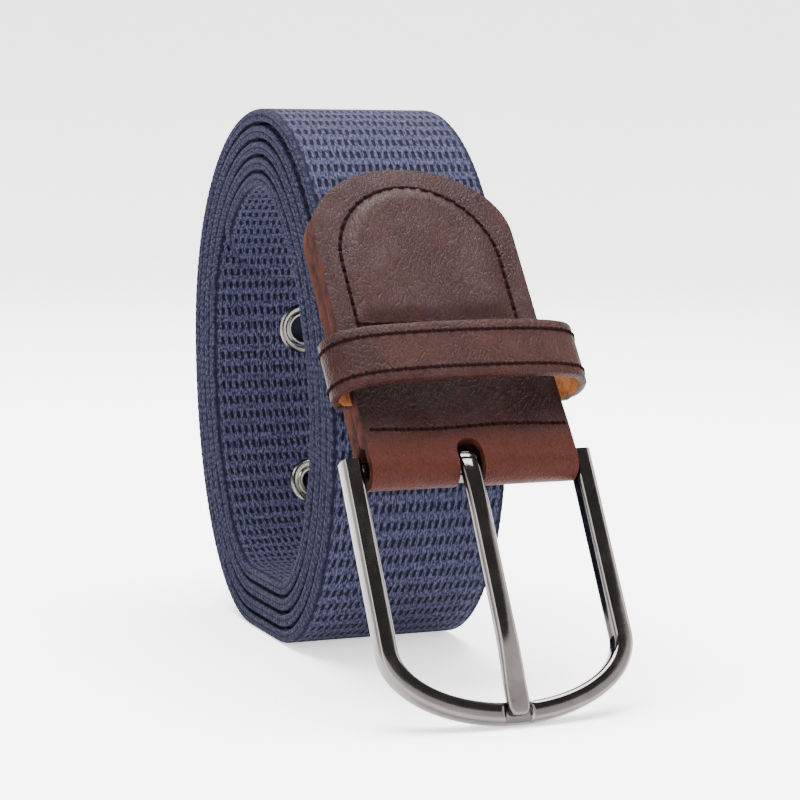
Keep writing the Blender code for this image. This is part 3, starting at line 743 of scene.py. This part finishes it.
def edge_profile(run):
    """The strap's edge beyond its flat faces: two braided lobes, as (share of thickness, reach)."""
    swell = 0.10 * MM * math.sin(2 * math.pi * run / (BRAID_PITCH / 2))
    other = 0.10 * MM * math.sin(2 * math.pi * run / (BRAID_PITCH / 2) + math.pi)
    return ((0.46, 0.42 * MM), (0.36, 0.78 * MM + swell / 2), (0.22, 0.86 * MM + swell), (0.0, 0.60 * MM),
            (-0.22, 0.86 * MM + other), (-0.36, 0.78 * MM + other / 2), (-0.46, 0.42 * MM))


def strap_stations():
    """Even runs along the strap with their middle points and normals, flat at each eyelet."""
    count = math.ceil((STRAP_RUN - WEBBING_END) / STRAP_STEP)
    runs = [WEBBING_END + (STRAP_RUN - WEBBING_END) * step / count for step in range(count)]
    last = TIP_LENGTH * 0.02
    runs = [run for run in runs if run < STRAP_RUN - last] + [STRAP_RUN - last, STRAP_RUN]
    stations = [[run, *strap_middle(run)] for run in runs]
    from_tip = [0.0]
    for near, far in zip(reversed(stations), reversed(stations[:-1])):
        from_tip.append(from_tip[-1] + (near[1] - far[1]).length)
    from_tip.reverse()
    half = EYELET_DIAMETER / 2 + 2 * CLEARANCE
    for index in range(EYELET_COUNT):
        place = FIRST_EYELET + index * EYELET_SPACING
        inside = [i for i, length in enumerate(from_tip) if abs(length - place) <= half]
        first, last_one = stations[inside[0]][1], stations[inside[-1]][1]
        normal = (stations[inside[0]][2] + stations[inside[-1]][2]).normalized()
        for i in inside:
            share = (i - inside[0]) / (inside[-1] - inside[0])
            stations[i][1] = first.lerp(last_one, share)
            stations[i][2] = normal
    return stations


def eyelet_place(index):
    """An eyelet's frame from its solid: the middle, and Z out of the roll."""
    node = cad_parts[f"eyelet_{index + 1}"]
    points = np.array([tuple(node.matrix_world @ v.co) for v in node.data.vertices])
    middle = Vector((points.min(axis=0) + points.max(axis=0)) / 2)
    _, _, axes = np.linalg.svd(points - points.mean(axis=0))
    out = Vector(axes[2])
    from_hollow = middle - Vector((0, TOP_BEHIND, (ROLL_FRONT_LEVEL + ROLL_BACK_LEVEL) / 2))
    if out.dot(from_hollow) < 0:
        out.negate()
    side = ACROSS
    up = out.cross(side).normalized()
    return Matrix.Translation(middle) @ Matrix((side, up, out)).transposed().to_4x4()


def make_webbing(material):
    """The whole rolled strap, with braided edges and a hole at each eyelet."""
    points, uvs = [], []
    flat = WEBBING_WIDTH / 2 - BRAID_INSET
    shares = (-1, -0.7, -0.35, 0, 0.35, 0.7, 1)
    for run, middle, normal in strap_stations():
        into_tip = max(0.0, run - (STRAP_RUN - TIP_LENGTH)) / TIP_LENGTH
        narrowed = TIP_DRAW * (1 - math.sqrt(max(0.0, 1 - into_tip ** 2)))
        half = flat - narrowed
        profile = edge_profile(run)
        ring = [(share * half, 0.5, share * half) for share in shares]
        ring += [(half + reach, depth, flat + (0.5 - abs(depth)) * BRAID_WRAP) for depth, reach in profile]
        ring += [(-share * half, -0.5, -share * half) for share in shares]
        ring += [(-half - reach, -depth, -flat - (0.5 - abs(depth)) * BRAID_WRAP) for depth, reach in profile]
        for x, depth, u in ring:
            points.append(middle + ACROSS * x + normal * depth * WEBBING_THICKNESS)
            uvs.append((u, run))
    columns = 2 * (len(shares) + len(edge_profile(0)))
    rows = len(points) // columns
    faces = grid_faces(rows, columns, close_columns=True)
    faces += [tuple(range(columns)), tuple(range((rows - 1) * columns, rows * columns))]
    strap = new_object("webbing_cloth", build_mesh("webbing_cloth", points, faces, uvs), (material,))
    holes = bmesh.new()
    for index in range(EYELET_COUNT):
        bmesh.ops.create_cone(holes, cap_ends=True, segments=32, radius1=EYELET_HOLE / 2 + 0.5 * MM,
                              radius2=EYELET_HOLE / 2 + 0.5 * MM, depth=4 * MM, matrix=eyelet_place(index))
    mesh = bpy.data.meshes.new("holes")
    holes.to_mesh(mesh)
    holes.free()
    cut_with(strap, new_object("holes", mesh))
    shade(strap, 60)
    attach(strap, "strap")
    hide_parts("webbing_strap")
    return strap


def make_eyelet(index, material):
    """A pressed eyelet: a rounded outer rim, a groove, a stepped inner rim and the barrel."""
    rim = EYELET_DIAMETER / 2
    bore = EYELET_HOLE / 2
    section = [((rim if at_rim else bore) + reach * MM, height * MM) for at_rim, reach, height in EYELET_SECTION]
    turns = 48
    points = [(r * math.cos(a), r * math.sin(a), z) for a in [2 * math.pi * t / turns for t in range(turns)]
              for r, z in section]
    faces = grid_faces(turns, len(section), close_rows=True, close_columns=True)
    name = f"eyelet_ring_{index + 1}"
    eyelet = shade(new_object(name, build_mesh(name, points, faces), (material,)), 55)
    eyelet.matrix_world = eyelet_place(index)
    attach(eyelet, "strap")
    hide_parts(f"eyelet_{index + 1}")


def tab_half_width(from_end, inset=0.0):
    """Half the tab's width at a distance from its arched end, or half the panel's within an inset."""
    arch = TAB_ARCH + 2 * MM if inset else TAB_ARCH
    into_arch = min(max(from_end - inset, 0.0) / arch, 1.0)
    return (TAB_WIDTH / 2 - inset) * math.sqrt(max(0.0, 1 - (1 - into_arch) ** 2))


def panel_lift(x, v):
    """How far the front's padded panel stands out, inside the arched seam."""
    if v <= 0:
        return 0.0
    inside_width = tab_half_width(TAB_LENGTH - v, STITCH_INSET + 0.6 * MM) - abs(x)
    inside_bottom = v - PANEL_BOTTOM - 0.4 * MM
    inside_top = TAB_LENGTH - STITCH_INSET - v
    inside = min(inside_width, inside_bottom, inside_top)
    return PANEL_RISE * smooth_step(inside / PANEL_BLEND) if inside > 0 else 0.0


def tab_fill(x, v):
    """How far the leather reaches in to meet its other half, beside the webbing and below its end."""
    run = abs(v)
    past_bar = smooth_step((run - 3.6 * MM) / (1.5 * MM))
    below = smooth_step((WEBBING_END - 0.6 * MM - run) / (0.8 * MM))
    beside = smooth_step((abs(x) - WEBBING_WIDTH / 2 - CLEARANCE) / (0.6 * MM))
    return past_bar * max(below, beside) * (leather_offset(run) - LEATHER_THICKNESS / 2 - SEAM_GAP)


def tab_station(v):
    """The sheet's middle and normal: v is the run up the front, or minus the run up the back."""
    if abs(v) < 1e-9:
        return FOLD - TAB_UP * leather_offset(0.0), -TAB_UP
    middle, normal = strap_middle(abs(v))
    side = 1 if v > 0 else -1
    return middle + normal * side * leather_offset(abs(v)), normal * side


def make_tab(material, raw, thread, hole):
    """The folded leather, its slot and its seams."""
    arch = [TAB_LENGTH - TAB_ARCH * (1 - math.cos(math.radians(a))) for a in range(90, 4, -5)]
    straight_count = 42
    straight = [arch[0] * step / straight_count for step in range(straight_count)]
    runs = straight + arch
    columns = 40
    rows = []

    def row(point, normal, half, v):
        rows.append([(point + ACROSS * half * (2 * c / columns - 1), normal, half * (2 * c / columns - 1), v)
                     for c in range(columns + 1)])

    for run in reversed(runs[1:]):
        row(*tab_station(-run), tab_half_width(TAB_LENGTH - run), -run)
    fold_steps = 16
    for step in range(fold_steps + 1):
        angle = math.pi * step / fold_steps
        direction = -(TAB_OUT * math.cos(angle) + TAB_UP * math.sin(angle))
        row(FOLD + direction * leather_offset(0.0), direction, TAB_WIDTH / 2, 1e-6 * (step + 1))
    for run in runs[1:]:
        row(*tab_station(run), tab_half_width(TAB_LENGTH - run), run)
    mesh = thick_sheet("tab_leather", rows, LEATHER_THICKNESS, panel_lift, tab_fill, rim_slot=1)
    tab = new_object("tab_leather", mesh, (material, raw))
    round_edges(tab, 0.5 * MM, 3)

    radius = SLOT_WIDTH / 2
    outline = [(SLOT_ASIDE + radius * math.cos(a), SLOT_TOP - radius + radius * math.sin(a))
               for a in [math.pi * step / 16 for step in range(17)]]
    outline += [(SLOT_ASIDE - radius, -SLOT_CUT), (SLOT_ASIDE + radius, -SLOT_CUT)]
    points = [FOLD + ACROSS * x + TAB_UP * up + TAB_OUT * side * SLOT_CUT
              for side in (-1, 1) for x, up in outline]
    count = len(outline)
    faces = grid_faces(2, count, close_columns=True)
    faces += [tuple(range(count)), tuple(range(count, 2 * count))]
    cutter = new_object("slot", build_mesh("slot", points, faces, slots=[1] * len(faces)), (material, raw))
    cut_with(tab, cutter)
    shade(tab, 50)
    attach(tab, "strap")
    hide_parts("leather_tab_front", "leather_tab_back", "leather_fold_left", "leather_fold_right")

    def on_leather(x, v):
        point, normal = tab_station(v)
        lift = LEATHER_THICKNESS / 2 + (panel_lift(x, v) if v > 0 else 0.0)
        return point + ACROSS * x + normal * lift, normal

    lines = []
    for side in (1, -1):
        top = TAB_LENGTH - STITCH_INSET
        arch_half = TAB_WIDTH / 2 - STITCH_INSET
        seam = []
        for step in range(61):
            angle = math.pi * step / 60
            x = arch_half * math.cos(angle)
            v = top - (TAB_ARCH + 2 * MM) * (1 - math.sin(angle))
            seam.append((x, v))
        start = seam[0][1]
        legs = [PANEL_BOTTOM + (start - PANEL_BOTTOM) * step / 20 for step in range(20)]
        bottom = [arch_half * (1 - 2 * step / 30) for step in range(31)]
        path = [(arch_half, v) for v in legs] + seam + [(-arch_half, v) for v in reversed(legs)]
        path += [(-x, PANEL_BOTTOM) for x in bottom[1:]]
        lines.append([on_leather(x, side * v) for x, v in path])
        low = [-TAB_WIDTH / 2 + LOWER_ROW_INSET + (TAB_WIDTH - 2 * LOWER_ROW_INSET) * step / 40
               for step in range(41)]
        lines.append([on_leather(x, side * (LOWER_ROW + 0.25 * MM * math.sin(x / (5 * MM)))) for x in low])
    seams = stitches("tab_seams", lines, thread, hole)
    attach(seams, "strap")


def keeper_line():
    """The keeper's closed middle line as (x, distance out of the tab's middle plane)."""
    half_wall = KEEPER_THICKNESS / 2
    back = HALF_SPACE - CLEARANCE - half_wall
    side = TAB_WIDTH / 2 + KEEPER_OVERHANG - half_wall
    rise = TAB_HALF_DEPTH + KEEPER_HEIGHT - half_wall - back
    # Share of the side's place, share of the rise
    loop = (
        (0.00, 0.00), (0.86, 0.00), (0.94, 0.07), (0.99, 0.20), (1.00, 0.42), (0.97, 0.66), (0.90, 0.83),
        (0.76, 0.93), (0.55, 0.985), (0.25, 1.00), (-0.10, 0.99), (-0.42, 0.95), (-0.70, 0.87),
        (-0.88, 0.74), (-0.97, 0.55), (-1.00, 0.34), (-0.985, 0.18), (-0.94, 0.07), (-0.86, 0.00),
    )
    return smooth_line([(x * side, back + out * rise) for x, out in loop], 8, closed=True)


def make_keeper(material, suede, thread, hole):
    """The closed leather band with two rows of stitches."""
    line = keeper_line()
    count = len(line)
    steps = 10
    rows = []
    run = 0.0
    stations = []
    for index, (x, out) in enumerate(line):
        before, after = line[index - 1], line[(index + 1) % count]
        along = Vector((after[0] - before[0], after[1] - before[1])).normalized()
        normal = ACROSS * along[1] - TAB_OUT * along[0]
        stations.append((x, out, normal))
        rows.append([])
        for step in range(steps + 1):
            up = KEEPER_BOTTOM + KEEPER_WIDTH * step / steps
            point = FOLD + ACROSS * x + TAB_OUT * out + TAB_UP * up
            rows[-1].append((point, normal, up, run))
        run += math.dist(line[index], line[(index + 1) % count])
    sign = 1 if stations[count // 2][2].dot(TAB_OUT) > 0 else -1
    rows = [[(point, normal * sign, u, v) for point, normal, u, v in row] for row in rows]
    mesh = thick_sheet("keeper_band", rows, KEEPER_THICKNESS, loop=True, inner_slot=1, rim_slot=0)
    band = new_object("keeper_band", mesh, (material, suede))
    round_edges(band, 0.35 * MM)
    shade(band, 50)
    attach(band, "strap")
    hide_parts("keeper_loop")

    lines = []
    for up in (KEEPER_BOTTOM + KEEPER_STITCH_INSET, KEEPER_BOTTOM + KEEPER_WIDTH - KEEPER_STITCH_INSET):
        seam = []
        for x, out, normal in stations:
            if out > TAB_HALF_DEPTH * 0.4:
                point = FOLD + ACROSS * x + TAB_OUT * out + TAB_UP * up
                seam.append((point + normal * sign * KEEPER_THICKNESS / 2, normal * sign))
        lines.append(seam)
    seams = stitches("keeper_seams", lines, thread, hole)
    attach(seams, "strap")


def frame_lean():
    """The lean at which the bow's rear edge just touches the floor, as in the part."""
    half = FRAME_DEPTH / 2
    edges = ((FRAME_DROP - FRAME_ROUNDING, half), (FRAME_DROP, half - FRAME_ROUNDING))
    return max(math.acos(BAR.z / math.hypot(*edge)) + math.atan2(edge[1], edge[0]) for edge in edges)


def frame_point(x, up, out):
    """A place in the leaning frame's own plane."""
    lean = frame_lean()
    frame_up = Vector((0, math.sin(lean), math.cos(lean)))
    frame_out = Vector((0, -math.cos(lean), math.sin(lean)))
    return BAR + ACROSS * x + frame_up * up + frame_out * out


def rounded_section(width, depth, radius, steps=5):
    """A rounded rectangle as (across the wire, out)."""
    section = []
    for centre_x, centre_y, start in ((1, 1, 0), (-1, 1, 90), (-1, -1, 180), (1, -1, 270)):
        for step in range(steps + 1):
            angle = math.radians(start + 90 * step / steps)
            section.append((centre_x * (width / 2 - radius) + radius * math.cos(angle),
                            centre_y * (depth / 2 - radius) + radius * math.sin(angle)))
    return section


def swept(points, rings, faces):
    """Add rings of points and their skin with flat ends."""
    start = len(points)
    columns = len(rings[0])
    for ring in rings:
        points += ring
    faces += grid_faces(len(rings), columns, close_columns=True, start=start)
    faces += [tuple(start + c for c in range(columns)),
              tuple(start + (len(rings) - 1) * columns + c for c in range(columns))]


def make_frame(material):
    """Two posts and a bow swept with a rounded section, notched for the tongue, and the bar."""
    middle = (FRAME_WIDTH - FRAME_WIRE) / 2
    bow_start = -(FRAME_DROP - BOW_HEIGHT)
    bow_drop = BOW_HEIGHT - FRAME_WIRE / 2
    post = [(middle, POST_RISE + (bow_start - POST_RISE) * step / 24) for step in range(24)]
    bow = []
    for step in range(161):
        angle = math.pi * step / 160
        bow.append((middle * math.cos(angle), bow_start - bow_drop * math.sin(angle)))
    path = post + bow + [(-x, up) for x, up in reversed(post)]
    section = rounded_section(FRAME_WIRE, FRAME_DEPTH, 1.05 * MM)
    tongue_x = TONGUE_ASIDE - FRAME_ASIDE
    rings = []
    for index, (x, up) in enumerate(path):
        before, after = path[max(index - 1, 0)], path[min(index + 1, len(path) - 1)]
        along = Vector((after[0] - before[0], after[1] - before[1])).normalized()
        side = Vector((-along[1], along[0]))
        notch = 0.0
        if up < bow_start:
            beside = abs(x - tongue_x) - TONGUE_WIDTH / 2 - TONGUE_REST_PLAY
            notch = TONGUE_REST_DEPTH * (1 - smooth_step(beside / TONGUE_REST_BLEND))
        ring = []
        for across, out in section:
            if out > 0:
                inner_share = smooth_step((across + FRAME_WIRE / 2) / FRAME_WIRE)
                out = min(out, FRAME_DEPTH / 2 - notch * (1 - 0.5 * (1 - inner_share)))
            ring.append(frame_point(x + side[0] * across, up + side[1] * across, out))
        rings.append(ring)
    points, faces = [], []
    swept(points, rings, faces)
    bar_sides = 20
    bar_rings = [[frame_point(end * middle, BAR_DIAMETER / 2 * math.cos(a), BAR_DIAMETER / 2 * math.sin(a))
                  for a in [2 * math.pi * t / bar_sides for t in range(bar_sides)]] for end in (-1, 1)]
    swept(points, bar_rings, faces)
    buckle = shade(new_object("frame_metal", build_mesh("frame_metal", points, faces), (material,)), 45)
    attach(buckle, "frame")
    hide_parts("buckle_frame")


def make_tongue(material):
    """The tongue: an eye rolled round the bar, an arched shank and a flattened tip in its rest."""
    bore = BAR_DIAMETER / 2 + CLEARANCE
    middle = bore + TONGUE_EYE_WALL / 2
    wall = TONGUE_EYE_WALL / MM
    # The shank's middle line below the bar in mm: out, up, width, thickness
    shank = (
        (2.62, -0.6, 3.9, 1.65), (2.85, -2.6, 3.9, 1.9), (3.0, -6.0, 3.9, 2.1), (3.05, -12.0, 3.9, 2.2),
        (3.0, -20.0, 3.9, 2.2), (2.95, -30.0, 3.95, 2.2), (2.85, -36.0, 4.1, 2.1), (2.5, -40.0, 4.3, 2.0),
        (2.1, -43.5, 4.5, 1.8), (1.9, -46.0, 4.6, 1.7), (1.85, -48.0, 4.3, 1.6), (1.8, -49.2, 3.2, 1.3),
        (1.8, -49.5, 1.8, 0.8),
    )
    eye = []
    for step in range(25):
        angle = math.radians(235 - 235 * step / 24)
        eye.append((middle * math.cos(angle) / MM, middle * math.sin(angle) / MM, TONGUE_WIDTH / MM, wall))
    path = eye + smooth_line([(middle / MM, 0.0, TONGUE_WIDTH / MM, wall)] + list(shank), 6)[1:]
    rings = []
    x_middle = TONGUE_ASIDE - FRAME_ASIDE
    for index, (out, up, width, thick) in enumerate(path):
        before, after = path[max(index - 1, 0)], path[min(index + 1, len(path) - 1)]
        along = Vector((after[0] - before[0], after[1] - before[1])).normalized()
        face = Vector((-along[1], along[0]))
        radius = min(0.85, 0.48 * thick)
        ring = []
        for across, deep in rounded_section(width, thick, radius, 4):
            crown = 0.28 * (1 - (2 * across / width) ** 2) if deep > 0 else 0.0
            deep = deep + crown * min(1.0, thick / 2)
            ring.append(frame_point(x_middle + across * MM, (up + face[1] * deep) * MM,
                                    (out + face[0] * deep) * MM))
        rings.append(ring)
    points, faces = [], []
    swept(points, rings, faces)
    tongue = shade(new_object("tongue_metal", build_mesh("tongue_metal", points, faces), (material,)), 50)
    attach(tongue, "tongue")
    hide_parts("buckle_tongue")


# Stage

def make_floor():
    """A plain pale floor that sweeps up all round, and glows a little as a studio's white surround does."""
    flat, sweep, height, turns = 1.0, 0.8, 1.4, 24
    profile = [(0.02, 0.0), (flat, 0.0)]
    profile += [(flat + sweep * math.sin(a), sweep * (1 - math.cos(a)))
                for a in [math.pi / 2 * step / 6 for step in range(1, 7)]]
    profile.append((flat + sweep, height))
    points = [(r * math.cos(a), r * math.sin(a), z) for a in [2 * math.pi * t / turns for t in range(turns)]
              for r, z in profile]
    faces = grid_faces(turns, len(profile), close_rows=True)
    faces.append(tuple(turn * len(profile) for turn in range(turns)))
    mesh = bpy.data.meshes.new("floor")
    mesh.from_pydata(points, [], faces)
    mesh.shade_smooth()
    material, shader, _ = new_material("pale_floor", 0.9, specular=0.1)
    shader.inputs["Base Color"].default_value = FLOOR_PALE
    shader.inputs["Emission Color"].default_value = rgb(1.0, 1.0, 1.0)
    shader.inputs["Emission Strength"].default_value = 0.9
    floor = new_object("floor", mesh, (material,))


def area_light(name, place, target, size, power):
    """A square soft light that faces a point."""
    light = bpy.data.lights.new(name, "AREA")
    light.shape = "RECTANGLE"
    light.size, light.size_y = size
    light.energy = power
    holder = bpy.data.objects.new(name, light)
    bpy.context.scene.collection.objects.link(holder)
    holder.location = place
    direction = Vector(target) - Vector(place)
    holder.rotation_euler = direction.to_track_quat("-Z", "Y").to_euler()


def make_lights():
    """A bright pale surrounding, a large soft light from above and one from each side."""
    world = bpy.data.worlds.new("studio")
    world.use_nodes = True
    world.node_tree.nodes["Background"].inputs["Color"].default_value = rgb(1.0, 1.0, 1.0)
    world.node_tree.nodes["Background"].inputs["Strength"].default_value = 0.25
    bpy.context.scene.world = world
    middle = (0.0, -0.02, 0.05)
    area_light("top", (0.0, 0.10, 0.90), middle, (0.9, 0.9), 58.0)
    area_light("left", (-0.75, -0.45, 0.35), middle, (0.25, 0.6), 3.0)
    area_light("right", (0.8, -0.30, 0.30), middle, (0.2, 0.6), 3.0)


# The camera that was fitted to the photograph
CAMERA_YAW = math.radians(23.0)
CAMERA_PITCH = math.radians(7.14)
CAMERA_ROLL = math.radians(0.81)
CAMERA_DISTANCE = 518.91 * MM
CAMERA_TARGET = Vector((13.70 * MM, TOP_BEHIND, 48.04 * MM))
LENS_MM = 108.0


def make_camera():
    """The photograph's view, a little from the left and above."""
    camera = bpy.data.cameras.new("camera")
    camera.sensor_width = 36.0
    camera.lens = LENS_MM
    camera.clip_start = 0.01
    holder = bpy.data.objects.new("camera", camera)
    bpy.context.scene.collection.objects.link(holder)
    back = Vector((-math.sin(CAMERA_YAW) * math.cos(CAMERA_PITCH),
                   -math.cos(CAMERA_YAW) * math.cos(CAMERA_PITCH), math.sin(CAMERA_PITCH)))
    right = Vector((math.cos(CAMERA_YAW), -math.sin(CAMERA_YAW), 0))
    up = back.cross(right)
    turned_right = right * math.cos(CAMERA_ROLL) + up * math.sin(CAMERA_ROLL)
    turned_up = up * math.cos(CAMERA_ROLL) - right * math.sin(CAMERA_ROLL)
    turn = Matrix((turned_right, turned_up, back)).transposed().to_4x4()
    holder.matrix_world = Matrix.Translation(CAMERA_TARGET + back * CAMERA_DISTANCE) @ turn
    bpy.context.scene.camera = holder


def main():
    webbing = webbing_material()
    grain, fibres, haze, mottle = leather_grain(), fibre_grain(), plating_haze(), fine_mottle()
    leather = leather_material("chocolate_leather", grain, TAB_DARK, TAB_LIGHT, 0.35, TAB_FOLD_LIGHTING)
    keeper_leather = leather_material("keeper_leather", grain, KEEPER_DARK, KEEPER_LIGHT, 0.2)
    raw = cut_leather_material("raw_edge", fibres, RAW_DARK, RAW_LIGHT)
    suede = cut_leather_material("suede_side", fibres, SUEDE_DARK, SUEDE_LIGHT)
    thread = mottled_material("brown_thread", mottle, THREAD_BROWN)
    # Painted shade for the needle holes
    hole = mottled_material("needle_hole_shade", mottle, NEEDLE_HOLE_SHADE)
    gunmetal = plated_material("gunmetal_plate", haze, GUNMETAL, GUNMETAL_TINT, 0.13)
    nickel = plated_material("nickel_plate", haze, NICKEL, NICKEL_TINT, 0.28)

    make_camera()
    make_webbing(webbing)
    for index in range(EYELET_COUNT):
        make_eyelet(index, nickel)
    make_tab(leather, raw, thread, hole)
    make_keeper(keeper_leather, suede, thread, hole)
    make_frame(gunmetal)
    make_tongue(gunmetal)
    make_floor()
    make_lights()


main()
